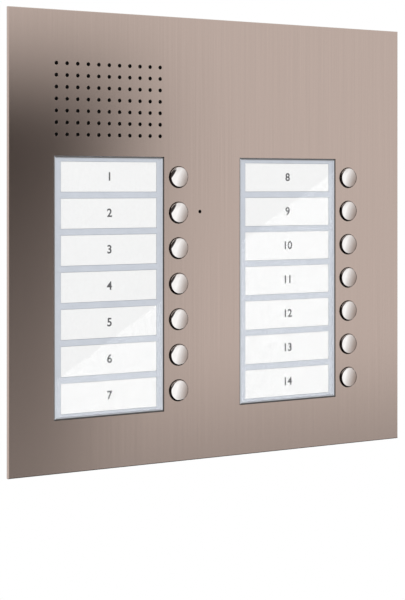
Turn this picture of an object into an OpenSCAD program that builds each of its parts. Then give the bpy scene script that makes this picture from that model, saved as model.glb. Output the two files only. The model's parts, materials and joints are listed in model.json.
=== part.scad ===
// Door intercom panel: a brushed metal front with two bell columns, a speaker and a microphone.
// Millimetres. X runs to the right, Z up, and the front faces -Y.
// The origin lies on the wall's face, behind the seal, at the middle of the plate.
// The values below count depths from the plate's rear face, and the last lines set it off the wall.

/* [Bell columns] */
// Width of one name label
label_w = 59; // [50:0.5:66]
// Height of one name label
label_h = 16.4; // [14:0.1:18]
// Height from one bell to the next
row_pitch = 20; // [19:0.5:24]
// Tray showing beside a label
label_margin_x = 4.5; // [3:0.1:8]
// Tray showing above the top label and below the bottom one
label_margin_z = 3.05; // [2:0.05:6]
// Space between the two column modules
column_gap = 6; // [4:0.5:12]
// Sideways shift of both columns from the middle of the plate
column_shift = -1.3; // [-3:0.1:3]

/* [Front plate] */
// Thickness of the sheet
plate_t = 2; // [1.5:0.1:3]
// Chamfer round the front edge
plate_chamfer = 0.4; // [0.1:0.1:0.8]
// Plate showing beside the modules
border_side = 15; // [14:0.5:30]
// Plate showing below the column modules
border_bottom = 21.6; // [20:0.1:40]
// Plate showing above the speaker
border_top = 25; // [22:0.5:45]

/* [Bell buttons] */
// Diameter of a button
button_d = 11.6; // [10:0.1:14]
// How far the edge of a button stands out of the plate
button_proud = 1.3; // [1.2:0.1:2.5]
// Extra height of the button's domed face
button_crown = 0.9; // [0.6:0.1:2]
// Travel of a button
button_travel = 1.2; // [0.8:0.1:1.5]
// Gap round a button in its hole in the plate
button_gap = 0.4; // [0.15:0.05:0.5]
// Width of the flange that keeps a button in
flange_w = 1.2; // [0.8:0.1:1.4]
// Thickness of that flange
flange_t = 1; // [0.8:0.1:1.5]
// Thickness of the rubber ring in front of the flange
ring_t = 0.6; // [0.4:0.1:1]
// Diameter of the button's stem
stem_d = 4; // [3:0.1:4.4]
// Running clearance of the stem in its guide, on the radius
stem_clearance = 0.05; // [0.02:0.01:0.1]

/* [Return springs] */
// Wire thickness
wire_d = 0.7; // [0.5:0.05:0.9]
// Diameter at the middle of the wire
coil_d = 6.6; // [6:0.1:7]
// Number of turns
coil_turns = 4.5; // [3.5:0.5:5]

/* [Speaker] */
// Distance between the sound holes
sound_pitch = 6.4; // [5.5:0.1:7]
// Diameter of a sound hole
sound_d = 2.2; // [1.5:0.1:2.5]
// Sound holes across
sound_columns = 11; // [9:1:12]
// Sound holes down
sound_rows = 7; // [5:1:8]
// Speaker to the left of the middle of its column
speaker_shift = 0.6; // [0:0.1:1]
// Speaker opening showing round the sound holes
speaker_margin = 0.9; // [0.5:0.05:2]
// Speaker rim above and below its opening
speaker_rim_z = 1.8; // [1.5:0.1:4]
// Speaker rim left and right of its opening, where it is fastened
speaker_rim_x = 8; // [7.5:0.1:12]
// Depth of the speaker basket behind its rim
basket_depth = 9; // [8:0.5:14]
// Diameter of the magnet
magnet_d = 32; // [26:0.5:36]
// Thickness of the magnet
magnet_t = 6; // [4:0.5:10]

/* [Microphone] */
// Diameter of the hole in the plate
mic_hole_d = 2; // [1.5:0.1:3]
// Hole above the middle of the second row of buttons
mic_rise = 0.5; // [0:0.1:1.5]
// Diameter of the capsule
mic_d = 6; // [5:0.1:7]
// Length of the capsule
mic_length = 5; // [3:0.5:6]
// Wall of the rubber boot
mic_boot_wall = 2; // [1.5:0.1:2.5]

/* [Windows] */
// Thickness of the clear pane's front
pane_front_t = 0.8; // [0.6:0.1:1.2]
// Thickness of the pane's side walls
pane_wall = 1; // [0.8:0.1:1.5]
// Thickness of the pane's flange behind the plate
pane_t = 2; // [1.5:0.1:3]
// Gap between pane and plate
pane_gap = 0.25; // [0.15:0.05:0.5]
// Bevel along the pane's front edges
pane_bevel = 0.3; // [0.1:0.1:0.5]
// Pane hidden behind the plate on three sides
pane_lap = 4; // [3:0.5:6]
// Pane hidden behind the plate beside the buttons
pane_lap_bell = 1; // [0.8:0.1:2]
// Thickness of the seal between pane and plate
seal_t = 0.6; // [0.4:0.1:1]
// Thickness of the label tray
tray_t = 2.4; // [2:0.1:3.5]
// Thickness of a name card
card_t = 0.5; // [0.3:0.1:0.8]
// Depth of a card's pocket
pocket_depth = 0.6; // [0.6:0.1:1]

/* [Boards] */
// Thickness of every circuit board
board_t = 1.6; // [1:0.1:2]
// Height of the main board
main_board_h = 50; // [44:1:54]
// Space between boards that lie edge to edge
board_gap = 4; // [3:0.5:6]
// Poles of the terminal block
poles = 6; // [4:1:8]
// Distance between poles
pole_pitch = 5; // [3.5:0.5:5.5]

/* [Fixing] */
// Diameter of the wall studs
wall_stud_d = 4; // [3:0.5:5]
// Length of the wall studs
wall_stud_length = 20; // [12:1:40]
// Wall studs from the side edges of the plate
wall_stud_side = 16; // [14:0.5:20]
// Wall studs from the top and bottom edges of the plate
wall_stud_end = 13; // [12:0.5:16]
// Diameter of the studs that carry the modules
stud_d = 3; // [2.5:0.5:4]
// Thickness of the wall seal
wall_seal_t = 2; // [1:0.5:4]
// Width of the wall seal
wall_seal_w = 6; // [4:0.5:7]
// Wall seal from the edge of the plate
wall_seal_inset = 3; // [2:0.5:4]

/* [Hidden] */
$fn = 48;
COLUMNS = ["left", "right"];
rows = 7;
bells = rows * len(COLUMNS);
fit_gap = 0.15;
stop_gap = 0.05;
overcut = 1;

// Windows, as offsets from the middle of a column
window_w = label_w + 2 * label_margin_x;
stack_h = (rows - 1) * row_pitch + label_h;
window_h = stack_h + 2 * label_margin_z;
pane_left = -window_w / 2 - pane_lap;
pane_right = window_w / 2 + pane_lap_bell;
pane_h = window_h + 2 * pane_lap;
pane_front_w = window_w - 2 * pane_gap;
pane_front_h = window_h - 2 * pane_gap;
pane_y = seal_t;
tray_front_w = pane_front_w - 2 * (pane_wall + fit_gap);
tray_front_h = pane_front_h - 2 * (pane_wall + fit_gap);
tray_front_y = pane_front_t - plate_t;
tray_y = pane_y + pane_t;
well_y = tray_y + tray_t;

// Buttons, springs and their guides, from front to rear
button_r = button_d / 2;
flange_r = button_r + flange_w;
flange_pocket_gap = 0.25;
flange_pocket_r = flange_r + flange_pocket_gap;
ring_outer_r = flange_pocket_r - stop_gap;
ring_inner_gap = 0.1;
ring_inner_r = button_r + button_gap + ring_inner_gap;
flange_y = ring_t + stop_gap;
shoulder_y = flange_y + flange_t + button_travel + stop_gap;
spring_room = 0.5;
spring_hole_r = (coil_d + wire_d) / 2 + spring_room;
spring_recess_y = -1;
spring_chamber = 4.5;
guide_y = shoulder_y + spring_chamber;
guide_t = 2;
stem_end_gap = 0.2;
stem_end_y = guide_y + guide_t + stem_end_gap;
dome_h = 0.35;
dome_y = stem_end_y + button_travel + stop_gap;
board_y = dome_y + dome_h;
board_rear_y = board_y + board_t;
bell_wall = 0.9;
button_x = pane_right + fit_gap + bell_wall + flange_pocket_r;
button_front = -plate_t - button_proud - button_crown;
crown_r = bend_radius(button_r, button_crown);

// Rounded edge of a button, which starts where it is steeper than the face by edge_turn degrees
edge_r = 0.9;
edge_turn = 12;
edge_slope = asin(button_r / crown_r) + edge_turn;
edge_start_r = button_r - edge_r * (1 - sin(edge_slope));
edge_start_y = button_front + crown_r - sqrt(pow(crown_r, 2) - pow(edge_start_r, 2));
edge_y = edge_start_y + edge_r * cos(edge_slope);

// Column modules, as offsets from the middle of a column
stud_hole_gap = 0.2;
stud_hole_r = stud_d / 2 + stud_hole_gap;
stud_foot_w = 1;
stud_base_r = stud_d / 2 + stud_foot_w;
stud_base_t = 0.8;
stud_base_gap = 0.2;
stud_wall = 3.15;
stud_edge = 4;
mic_boot_r = mic_d / 2 + mic_boot_wall;
mic_boot_gap = 0.1;
mic_bore_r = mic_boot_r + mic_boot_gap;
mic_wall = 1.65;
mic_x = button_x + flange_pocket_r + mic_wall + mic_bore_r;
stud_x_left = pane_left - fit_gap - stud_wall - stud_hole_r;
stud_x_right = mic_x;
carrier_left = stud_x_left - stud_edge;
carrier_edge = 2.6;
carrier_right = mic_x + mic_bore_r + carrier_edge;
carrier_w = carrier_right - carrier_left;
carrier_wall = 3;
carrier_h = pane_h + 2 * (fit_gap + carrier_wall);
carrier_corner_r = 3;
stud_row_inset = 2.2;
stud_row = stack_h / 2 - stud_row_inset;
board_inset = 1;
rib_t = 2;
well_ledge = 1.2;

// Overall layout from the borders
modules_w = 2 * carrier_w + column_gap;
plate_w = modules_w + 2 * border_side;
speaker_gap = 0.6;
grid_w = (sound_columns - 1) * sound_pitch + sound_d;
grid_h = (sound_rows - 1) * sound_pitch + sound_d;
speaker_open_w = grid_w + 2 * speaker_margin;
speaker_open_h = grid_h + 2 * speaker_margin;
speaker_w = speaker_open_w + 2 * speaker_rim_x;
speaker_h = speaker_open_h + 2 * speaker_rim_z;
plate_h = border_bottom + carrier_h + speaker_gap + speaker_h + border_top;
column_z = -plate_h / 2 + border_bottom + carrier_h / 2;
column_x = [-modules_w / 2 - carrier_left + column_shift, modules_w / 2 - carrier_right + column_shift];
module_top = column_z + carrier_h / 2;
speaker_x = column_x[0] - speaker_shift;
speaker_z = module_top + speaker_gap + speaker_h / 2;
mic_z = column_z + (rows - 1) / 2 * row_pitch - row_pitch + mic_rise;
mic_front = 1;
mic_throat_gap = 0.5;
mic_boot_length = mic_front + mic_length;

// Speaker, from front to rear
gauze_t = 0.3;
gasket_t = 1.5;
rim_y = gauze_t + gasket_t;
rim_t = 1.2;
speaker_corner_r = 6;
speaker_stud_out = 0.5;
speaker_stud_inset = 5.2;
speaker_stud_x = speaker_open_w / 2 + speaker_rim_x / 2 + speaker_stud_out;
speaker_stud_z = speaker_open_h / 2 - speaker_stud_inset;
basket_wall = 1;
basket_rear_y = rim_y + rim_t + basket_depth;
cone_t = 0.6;
cone_flange_t = 0.4;
cone_flange_lap = 1;
coil_former_r = 7;
coil_former_t = 0.5;
cone_gap = 1;
cone_rear_gap = 1.5;
magnet_gap = 1;
pole_t = 2;
pole_step = 1;
back_step = 2;
coil_slot_depth = 3.5;

// Main board, from the speaker's rim to the right-hand module's edge
main_board_clear = 7.3;
main_board_end = 5.7;
main_board_left = speaker_x + speaker_w / 2 + main_board_clear;
main_board_right = column_x[1] + carrier_right - main_board_end;
main_board_w = main_board_right - main_board_left;
main_board_bottom = module_top + board_gap;
main_board_x = (main_board_left + main_board_right) / 2;
main_board_z = main_board_bottom + main_board_h / 2;
board_stud_inset = 5;
board_stud_low = 12;
spacer_wall = 1.3;
bridge_w = 12;
bridge_lap = 4.5;
bridge_t = 3.5;
bridge_in = 7;
terminal_depth = 10;
terminal_height = 11;
terminal_screw_d = 3.4;
terminal_cheek = 0.5;
terminal_w = poles * pole_pitch + 2 * terminal_cheek;
terminal_x = main_board_x;
terminal_z = main_board_bottom + main_board_h - terminal_depth;
terminal_entry = 2.8;
terminal_floor = 1.2;
screw_well = 4;
screw_drop = 1;
screw_y = board_rear_y + terminal_height - screw_well;
screw_z = terminal_z + terminal_depth / 2 - screw_drop;

// Nuts
nut_wall = 1.25;
nut_flats = stud_d + 2 * nut_wall;
nut_t = 2.4;
nut_gap = 0.05;
stud_end = 1.8;
module_stud_length = board_rear_y + nut_t + stud_end;
speaker_stud_length = rim_y + rim_t + nut_t + stud_end;

// Colours
steel = [0.66, 0.61, 0.57];
bright_steel = [0.86, 0.85, 0.83];
zinc = [0.74, 0.75, 0.74];
black_plastic = [0.09, 0.09, 0.1];
rubber = [0.06, 0.06, 0.06];
clear = [0.85, 0.9, 0.93, 0.35];
tray_grey = [0.72, 0.75, 0.8];
card_white = [0.96, 0.96, 0.95];
board_green = [0.06, 0.3, 0.16];
paper_grey = [0.2, 0.2, 0.21];
magnet_grey = [0.25, 0.25, 0.26];
capsule_silver = [0.78, 0.78, 0.76];
lamp_cream = [0.97, 0.95, 0.8];
spacer_white = [0.85, 0.84, 0.8];
terminal_grey = [0.45, 0.47, 0.48];
can_blue = [0.16, 0.18, 0.24];

// Radius of an arc that rises by h over a half width w
function bend_radius(w, h) = (pow(w, 2) + pow(h, 2)) / (2 * h);

function two_digits(i) = i < 10 ? str("0", i) : str(i);
function bell_name(kind, i) = str(kind, "_", two_digits(i + 1));
function bell_side(i) = floor(i / rows);
function row_z(row) = column_z + ((rows - 1) / 2 - row) * row_pitch;
function bell_x(i) = column_x[bell_side(i)] + button_x;
function bell_z(i) = row_z(i % rows);
function pole_x(k) = terminal_x + (k - (poles - 1) / 2) * pole_pitch;

// Stud places: six for each column module, four for the speaker, four for the main board
module_stud_places = [
    for (x = column_x) for (dx = [stud_x_left, stud_x_right]) for (k = [-1, 0, 1])
        [x + dx, column_z + k * stud_row]
];
board_stud_places = [
    for (x = [main_board_left + board_stud_inset, main_board_right - board_stud_inset])
        for (z = [main_board_bottom + board_stud_low, main_board_bottom + main_board_h - board_stud_inset])
            [x, z]
];
speaker_stud_places = [
    for (i = [-1, 1]) for (k = [-1, 1])
        [speaker_x + i * speaker_stud_x, speaker_z + k * speaker_stud_z]
];

// Flat outline in the X-Z plane, made t thick from depth y
module sheet(y, t) {
    translate([0, y + t, 0]) rotate([90, 0, 0]) linear_extrude(t) children();
}

// Round bar along Y
module bar(x, y, z, r, length) {
    translate([x, y, z]) rotate([-90, 0, 0]) cylinder(h = length, r = r);
}

// Turned shape about a Y axis, from a half profile of radius and depth
module turned(x, y, z) {
    translate([x, y, z]) rotate([-90, 0, 0]) rotate_extrude() children();
}

module rounded_rect(w, h, r) {
    square([w - 2 * r, h], center = true);
    square([w, h - 2 * r], center = true);
    for (x = [-1, 1], y = [-1, 1])
        translate([x * (w / 2 - r), y * (h / 2 - r)]) circle(r);
}

// Rectangle between two X limits, centred on a height
module span_rect(x0, x1, z, h) {
    translate([x0, z - h / 2]) square([x1 - x0, h]);
}

module hex_nut(x, y, z) {
    difference() {
        translate([x, y, z]) rotate([-90, 0, 0]) cylinder(h = nut_t, d = nut_flats / cos(30), $fn = 6);
        bar(x, y - overcut, z, stud_d / 2 + nut_gap, nut_t + 2 * overcut);
    }
}

// Welded stud with its flanged foot
module weld_stud(x, z, d, length) {
    tip = 0.4;
    foot_r = d / 2 + stud_foot_w;
    turned(x, 0, z)
        polygon([
            [0, 0], [foot_r, 0], [foot_r, stud_base_t], [d / 2, stud_base_t],
            [d / 2, length - tip], [d / 2 - tip, length], [0, length]
        ]);
}

// Room for a stud's foot in the front of what stands over it
module stud_foot_pocket(x, z) {
    bar(x, -overcut, z, stud_base_r + stud_base_gap, stud_base_t + stud_base_gap + overcut);
}

module sound_holes() {
    for (i = [0:sound_columns - 1], k = [0:sound_rows - 1])
        translate([
            speaker_x + (i - (sound_columns - 1) / 2) * sound_pitch,
            speaker_z + (k - (sound_rows - 1) / 2) * sound_pitch
        ]) circle(d = sound_d, $fn = 24);
}

// Straight bevel along one front edge, as long as that edge
module edge_bevel(length, size) {
    rotate([0, 90, 0])
        linear_extrude(length + 2 * overcut, center = true)
            polygon([[-overcut, -overcut], [size + overcut, -overcut], [-overcut, size + overcut]]);
}

// Bevels along the four front edges of a rectangle centred on [x, z], flush with the plate's front
module front_bevels(x, z, w, h, size) {
    translate([x, -plate_t, z]) {
        translate([0, 0, h / 2]) edge_bevel(w, size);
        translate([0, 0, -h / 2]) rotate([0, 180, 0]) edge_bevel(w, size);
        translate([w / 2, 0, 0]) rotate([0, 90, 0]) edge_bevel(h, size);
        translate([-w / 2, 0, 0]) rotate([0, -90, 0]) edge_bevel(h, size);
    }
}

module front_plate() {
    color(steel)
        difference() {
            sheet(-plate_t, plate_t)
                difference() {
                    square([plate_w, plate_h], center = true);
                    for (x = column_x)
                        span_rect(x - window_w / 2, x + window_w / 2, column_z, window_h);
                    for (i = [0:bells - 1])
                        translate([bell_x(i), bell_z(i)]) circle(button_r + button_gap);
                    sound_holes();
                    translate([column_x[0] + mic_x, mic_z]) circle(d = mic_hole_d, $fn = 24);
                }
            front_bevels(0, 0, plate_w, plate_h, plate_chamfer);
        }
}

module wall_studs() {
    color(zinc)
        for (x = [-1, 1], z = [-1, 1])
            weld_stud(
                x * (plate_w / 2 - wall_stud_side), z * (plate_h / 2 - wall_stud_end),
                wall_stud_d, wall_stud_length
            );
}

module module_studs() {
    color(zinc) {
        for (p = concat(module_stud_places, board_stud_places))
            weld_stud(p[0], p[1], stud_d, module_stud_length);
        for (p = speaker_stud_places)
            weld_stud(p[0], p[1], stud_d, speaker_stud_length);
    }
}

module module_nuts() {
    color(zinc) {
        for (p = concat(module_stud_places, board_stud_places))
            hex_nut(p[0], board_rear_y, p[1]);
        for (p = speaker_stud_places)
            hex_nut(p[0], rim_y + rim_t, p[1]);
    }
}

module wall_seal() {
    outer_w = plate_w - 2 * wall_seal_inset;
    outer_h = plate_h - 2 * wall_seal_inset;
    color(rubber)
        sheet(0, wall_seal_t)
            difference() {
                rounded_rect(outer_w, outer_h, wall_seal_w);
                square([outer_w - 2 * wall_seal_w, outer_h - 2 * wall_seal_w], center = true);
            }
}

// Thin frame stuck between plate and pane round each window
module window_seals() {
    color(rubber)
        sheet(0, seal_t)
            for (x = column_x)
                difference() {
                    span_rect(x + pane_left, x + pane_right, column_z, pane_h);
                    span_rect(x - window_w / 2, x + window_w / 2, column_z, window_h);
                }
}

// Clear cover that comes through the plate from behind, flush with its front and hollow for the tray
module window_pane(side) {
    x = column_x[side];
    color(clear)
        difference() {
            union() {
                sheet(pane_y, pane_t)
                    span_rect(x + pane_left, x + pane_right, column_z, pane_h);
                sheet(-plate_t, plate_t + tray_y)
                    translate([x, column_z]) square([pane_front_w, pane_front_h], center = true);
            }
            sheet(tray_front_y, tray_y - tray_front_y + overcut)
                translate([x, column_z])
                    square([pane_front_w - 2 * pane_wall, pane_front_h - 2 * pane_wall], center = true);
            front_bevels(x, column_z, pane_front_w, pane_front_h, pane_bevel);
        }
}

// Light-grey tray that fills the pane, with a shallow pocket for each card and a light box behind it
module label_tray(side) {
    x = column_x[side];
    light_box = [tray_front_w - 2 * tray_t, label_h];
    color(tray_grey)
        difference() {
            union() {
                sheet(tray_y, tray_t)
                    span_rect(x + pane_left, x + pane_right, column_z, pane_h);
                sheet(tray_front_y, well_y - tray_front_y)
                    translate([x, column_z]) square([tray_front_w, tray_front_h], center = true);
            }
            for (row = [0:rows - 1]) {
                sheet(tray_front_y - overcut, pocket_depth + overcut)
                    translate([x, row_z(row)])
                        square([label_w + 2 * fit_gap, label_h + 2 * fit_gap], center = true);
                sheet(tray_front_y + tray_t, well_y - tray_front_y - tray_t + overcut)
                    translate([x, row_z(row)]) square(light_box, center = true);
            }
        }
}

module name_cards() {
    color(card_white)
        sheet(tray_front_y + pocket_depth - card_t, card_t)
            for (x = column_x, row = [0:rows - 1])
                translate([x, row_z(row)]) square([label_w, label_h], center = true);
}

// Button well: flange pocket, spring chamber, stem guide and the recess over the contact dome
module button_well(x, z) {
    bar(x, -overcut, z, flange_pocket_r, shoulder_y + overcut);
    bar(x, shoulder_y - overcut, z, spring_hole_r, guide_y - shoulder_y + overcut);
    bar(x, guide_y - overcut, z, stem_d / 2 + stem_clearance, guide_t + 2 * overcut);
    bar(x, guide_y + guide_t, z, flange_r, board_y - guide_y - guide_t + overcut);
}

module button_carrier(side) {
    x = column_x[side];
    well_w = window_w + 2 * well_ledge - 2 * rib_t;
    color(black_plastic)
        difference() {
            sheet(0, board_y)
                translate([x + (carrier_left + carrier_right) / 2, column_z])
                    rounded_rect(carrier_w, carrier_h, carrier_corner_r);
            sheet(-overcut, well_y + overcut)
                span_rect(x + pane_left - fit_gap, x + pane_right + fit_gap, column_z, pane_h + 2 * fit_gap);
            sheet(well_y - overcut, board_y - well_y + 2 * overcut)
                for (row = [0:rows - 1])
                    translate([x, row_z(row)]) square([well_w, row_pitch - rib_t], center = true);
            for (row = [0:rows - 1])
                button_well(x + button_x, row_z(row));
            bar(x + mic_x, -overcut, mic_z, mic_bore_r, board_y + 2 * overcut);
            for (dx = [stud_x_left, stud_x_right], k = [-1, 0, 1]) {
                bar(x + dx, -overcut, column_z + k * stud_row, stud_hole_r, board_y + 2 * overcut);
                stud_foot_pocket(x + dx, column_z + k * stud_row);
            }
        }
}

module button_seals() {
    color(rubber)
        for (i = [0:bells - 1])
            turned(bell_x(i), 0, bell_z(i))
                translate([ring_inner_r, 0]) square([ring_outer_r - ring_inner_r, ring_t]);
}

// Turned button: domed face with a rounded edge, skirt through the plate, flange, spring recess and stem
module button_cap(i) {
    face_r = (button_r - edge_r + edge_start_r) / 2;
    skirt_end = flange_y + flange_t;
    color(bright_steel)
        turned(bell_x(i), 0, bell_z(i)) {
            difference() {
                union() {
                    intersection() {
                        translate([0, button_front + crown_r]) circle(crown_r, $fn = 180);
                        union() {
                            translate([0, button_front]) square([face_r, skirt_end - button_front]);
                            translate([button_r - edge_r, edge_y]) circle(edge_r);
                            translate([0, edge_y]) square([button_r, skirt_end - edge_y]);
                        }
                    }
                    translate([0, flange_y]) square([flange_r, flange_t]);
                }
                translate([stem_d / 2, spring_recess_y])
                    square([spring_hole_r - stem_d / 2, skirt_end - spring_recess_y + overcut]);
            }
            translate([0, spring_recess_y]) square([stem_d / 2, stem_end_y - spring_recess_y]);
        }
}

// Return spring: one round wire wound between the button's recess and the guide's floor
wire_sides = 6;
rings_per_turn = 8;
coil_rings = round(coil_turns * rings_per_turn);
coil_length = guide_y - spring_recess_y - wire_d;
coil_slope = coil_length / (coil_turns * PI * coil_d);

function coil_angle(k) = 360 * coil_turns * k / coil_rings;
function coil_centre(k) = [
    coil_d / 2 * cos(coil_angle(k)), coil_d / 2 * sin(coil_angle(k)),
    wire_d / 2 + coil_length * k / coil_rings
];
function coil_out(k) = [cos(coil_angle(k)), sin(coil_angle(k)), 0];
function coil_up(k) =
    let (along = [-sin(coil_angle(k)), cos(coil_angle(k)), coil_slope])
    cross(coil_out(k), along / norm(along));
function coil_ring(k) = [
    for (s = [0:wire_sides - 1])
        let (a = 360 * s / wire_sides)
        coil_centre(k) + wire_d / 2 * (cos(a) * coil_out(k) + sin(a) * coil_up(k))
];
function coil_corner(k, s) = k * wire_sides + s % wire_sides;

coil_self_gap = min([
    for (i = [0:coil_rings]) for (k = [i + rings_per_turn / 2:coil_rings])
        norm(coil_centre(i) - coil_centre(k))
]) - wire_d;
echo(least_gap_between_spring_turns_mm = coil_self_gap);

module return_spring(i) {
    points = [for (k = [0:coil_rings]) each coil_ring(k)];
    sides = [
        for (k = [0:coil_rings - 1]) for (s = [0:wire_sides - 1]) each [
            [coil_corner(k, s), coil_corner(k + 1, s), coil_corner(k + 1, s + 1)],
            [coil_corner(k, s), coil_corner(k + 1, s + 1), coil_corner(k, s + 1)]
        ]
    ];
    ends = [
        for (s = [1:wire_sides - 2]) each [
            [coil_corner(0, 0), coil_corner(0, s), coil_corner(0, s + 1)],
            [coil_corner(coil_rings, 0), coil_corner(coil_rings, s + 1), coil_corner(coil_rings, s)]
        ]
    ];
    color(zinc)
        translate([bell_x(i), spring_recess_y, bell_z(i)])
            rotate([-90, 0, 0])
                polyhedron(points = points, faces = concat(sides, ends));
}

module key_board(side) {
    x = column_x[side];
    color(board_green)
        sheet(board_y, board_t)
            difference() {
                translate([x + (carrier_left + carrier_right) / 2, column_z])
                    rounded_rect(carrier_w - 2 * board_inset, carrier_h - 2 * board_inset, carrier_corner_r);
                for (dx = [stud_x_left, stud_x_right], k = [-1, 0, 1])
                    translate([x + dx, column_z + k * stud_row]) circle(stud_hole_r);
            }
}

// Sprung metal domes on the key boards, one under each stem
module contact_domes() {
    dome_r = 4;
    dome_sheet = 0.15;
    bend_r = bend_radius(dome_r, dome_h);
    color(bright_steel)
        for (i = [0:bells - 1])
            turned(bell_x(i), board_y, bell_z(i))
                intersection() {
                    difference() {
                        translate([0, bend_r - dome_h]) circle(bend_r, $fn = 360);
                        translate([0, bend_r - dome_h]) circle(bend_r - dome_sheet, $fn = 360);
                    }
                    translate([0, -dome_h]) square([dome_r, dome_h]);
                }
}

// Two small lamps behind each label
module label_lamps() {
    lamp = [3.5, 1.9, 2.8];
    lamp_x = label_w / 3;
    color(lamp_cream)
        for (x = column_x, dx = [-lamp_x, lamp_x], row = [0:rows - 1])
            translate([x + dx - lamp[0] / 2, board_y - lamp[1], row_z(row) - lamp[2] / 2]) cube(lamp);
}

// Connectors that join each key board to the main board across the gap between their edges
module board_bridges() {
    key_edge = module_top - board_inset;
    bridge_h = main_board_bottom - key_edge + 2 * bridge_lap;
    color(black_plastic)
        for (x = [column_x[0] + carrier_right - board_inset - bridge_in, column_x[1]])
            translate([x - bridge_w / 2, board_rear_y, key_edge - bridge_lap])
                cube([bridge_w, bridge_t, bridge_h]);
}

module main_board() {
    color(board_green)
        sheet(board_y, board_t)
            difference() {
                translate([main_board_x, main_board_z])
                    rounded_rect(main_board_w, main_board_h, carrier_corner_r);
                for (p = board_stud_places)
                    translate(p) circle(stud_hole_r);
            }
}

module board_spacers() {
    color(spacer_white)
        for (p = board_stud_places)
            difference() {
                bar(p[0], 0, p[1], stud_base_r + stud_base_gap + spacer_wall, board_y);
                bar(p[0], -overcut, p[1], stud_hole_r, board_y + 2 * overcut);
                stud_foot_pocket(p[0], p[1]);
            }
}

// Screw terminal with wire entries on top and screw wells at the rear
module terminal_block() {
    entry_length = 7;
    slope = 3;
    color(terminal_grey)
        difference() {
            translate([terminal_x - terminal_w / 2, board_rear_y, terminal_z])
                rotate([90, 0, 90])
                    linear_extrude(terminal_w)
                        polygon([
                            [0, 0], [terminal_height, 0], [terminal_height, terminal_depth - slope],
                            [terminal_height - slope, terminal_depth], [0, terminal_depth]
                        ]);
            for (k = [0:poles - 1]) {
                bar(pole_x(k), screw_y, screw_z, terminal_screw_d / 2 + fit_gap, screw_well + overcut);
                translate([
                    pole_x(k) - terminal_entry / 2, board_rear_y + terminal_floor,
                    terminal_z + terminal_depth - entry_length
                ]) cube([terminal_entry, terminal_entry, entry_length + overcut]);
            }
        }
}

// Slotted screws at the bottom of the terminal's wells
module terminal_screws() {
    head_t = 2;
    slot = [0.6, 0.8];
    color(zinc)
        for (k = [0:poles - 1])
            difference() {
                bar(pole_x(k), screw_y, screw_z, terminal_screw_d / 2, head_t);
                translate([pole_x(k) - terminal_screw_d, screw_y + head_t - slot[1], screw_z - slot[0] / 2])
                    cube([2 * terminal_screw_d, 2 * slot[1], slot[0]]);
            }
}

// Chip lying flat on the main board, centred beside the board's middle
module chip(x, size) {
    chip_drop = 5;
    translate([main_board_x + x - size[0] / 2, board_rear_y, main_board_z - chip_drop - size[2] / 2])
        cube(size);
}

// A row of chips: one square, two wide and one small
module signal_chips() {
    square_chip = [12, 1.6, 12];
    wide_chip = [10, 2.4, 7.6];
    small_chip = [6, 1.8, 5];
    square_chip_x = -32;
    wide_chip_x = [-8, 40];
    small_chip_x = 14;
    color(black_plastic) {
        chip(square_chip_x, square_chip);
        for (x = wide_chip_x)
            chip(x, wide_chip);
        chip(small_chip_x, small_chip);
    }
}

// Electrolytic cans standing on the main board
module capacitors() {
    can_r = 4;
    can_h = 11;
    bead_r = 0.4;
    bead_drop = 2;
    can_pitch = 10;
    can_gap = 4.5;
    cans = 3;
    first_x = terminal_x + terminal_w / 2 + can_gap + can_r;
    can_drop = 2;
    can_z = terminal_z - can_drop;
    color(can_blue)
        for (k = [0:cans - 1])
            difference() {
                bar(first_x + k * can_pitch, board_rear_y, can_z, can_r, can_h);
                turned(first_x + k * can_pitch, board_rear_y, can_z)
                    translate([can_r, can_h - bead_drop]) circle(bead_r, $fn = 16);
            }
}

// Holes for the speaker's studs, given at the size that a layer needs
module speaker_stud_holes(r) {
    for (p = speaker_stud_places)
        translate(p) circle(r);
}

module speaker_outline() {
    translate([speaker_x, speaker_z]) rounded_rect(speaker_w, speaker_h, speaker_corner_r);
}

module speaker_opening(margin) {
    translate([speaker_x, speaker_z])
        rounded_rect(speaker_open_w + 2 * margin, speaker_open_h + 2 * margin, speaker_corner_r);
}

module speaker_gauze() {
    color(rubber)
        sheet(0, gauze_t)
            difference() {
                speaker_outline();
                speaker_stud_holes(stud_base_r + stud_base_gap);
            }
}

module speaker_gasket() {
    color(rubber)
        sheet(gauze_t, gasket_t)
            difference() {
                speaker_outline();
                speaker_opening(cone_flange_lap + fit_gap);
                speaker_stud_holes(stud_base_r + stud_base_gap);
            }
}

// Tapered solid from a rounded opening to a round end, along +Y from depth y
module funnel(y, depth, w, h, end_d) {
    slice = 0.01;
    hull() {
        sheet(y, slice)
            translate([speaker_x, speaker_z]) rounded_rect(w, h, speaker_corner_r, $fn = 32);
        sheet(y + depth - slice, slice)
            translate([speaker_x, speaker_z]) circle(d = end_d, $fn = 32);
    }
}

module speaker_basket() {
    cup_w = speaker_open_w;
    cup_h = speaker_open_h;
    cup_y = rim_y + rim_t;
    vent = 12;
    vent_x = cup_w / 3;
    vent_front = 3;
    vent_depth = 3;
    color(zinc) {
        difference() {
            union() {
                sheet(rim_y, rim_t)
                    difference() {
                        speaker_outline();
                        speaker_opening(-basket_wall);
                        speaker_stud_holes(stud_hole_r);
                    }
                difference() {
                    funnel(cup_y, basket_depth, cup_w, cup_h, magnet_d);
                    funnel(
                        cup_y - stop_gap, basket_depth - basket_wall,
                        cup_w - 2 * basket_wall, cup_h - 2 * basket_wall, magnet_d - 2 * basket_wall
                    );
                    for (x = [speaker_x - vent_x, speaker_x + vent_x])
                        translate([x - vent / 2, cup_y + vent_front, speaker_z - cup_h])
                            cube([vent, vent_depth, 2 * cup_h]);
                }
            }
            bar(speaker_x, cup_y, speaker_z, coil_former_r + cone_gap + magnet_gap, basket_depth + overcut);
        }
    }
}

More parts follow.
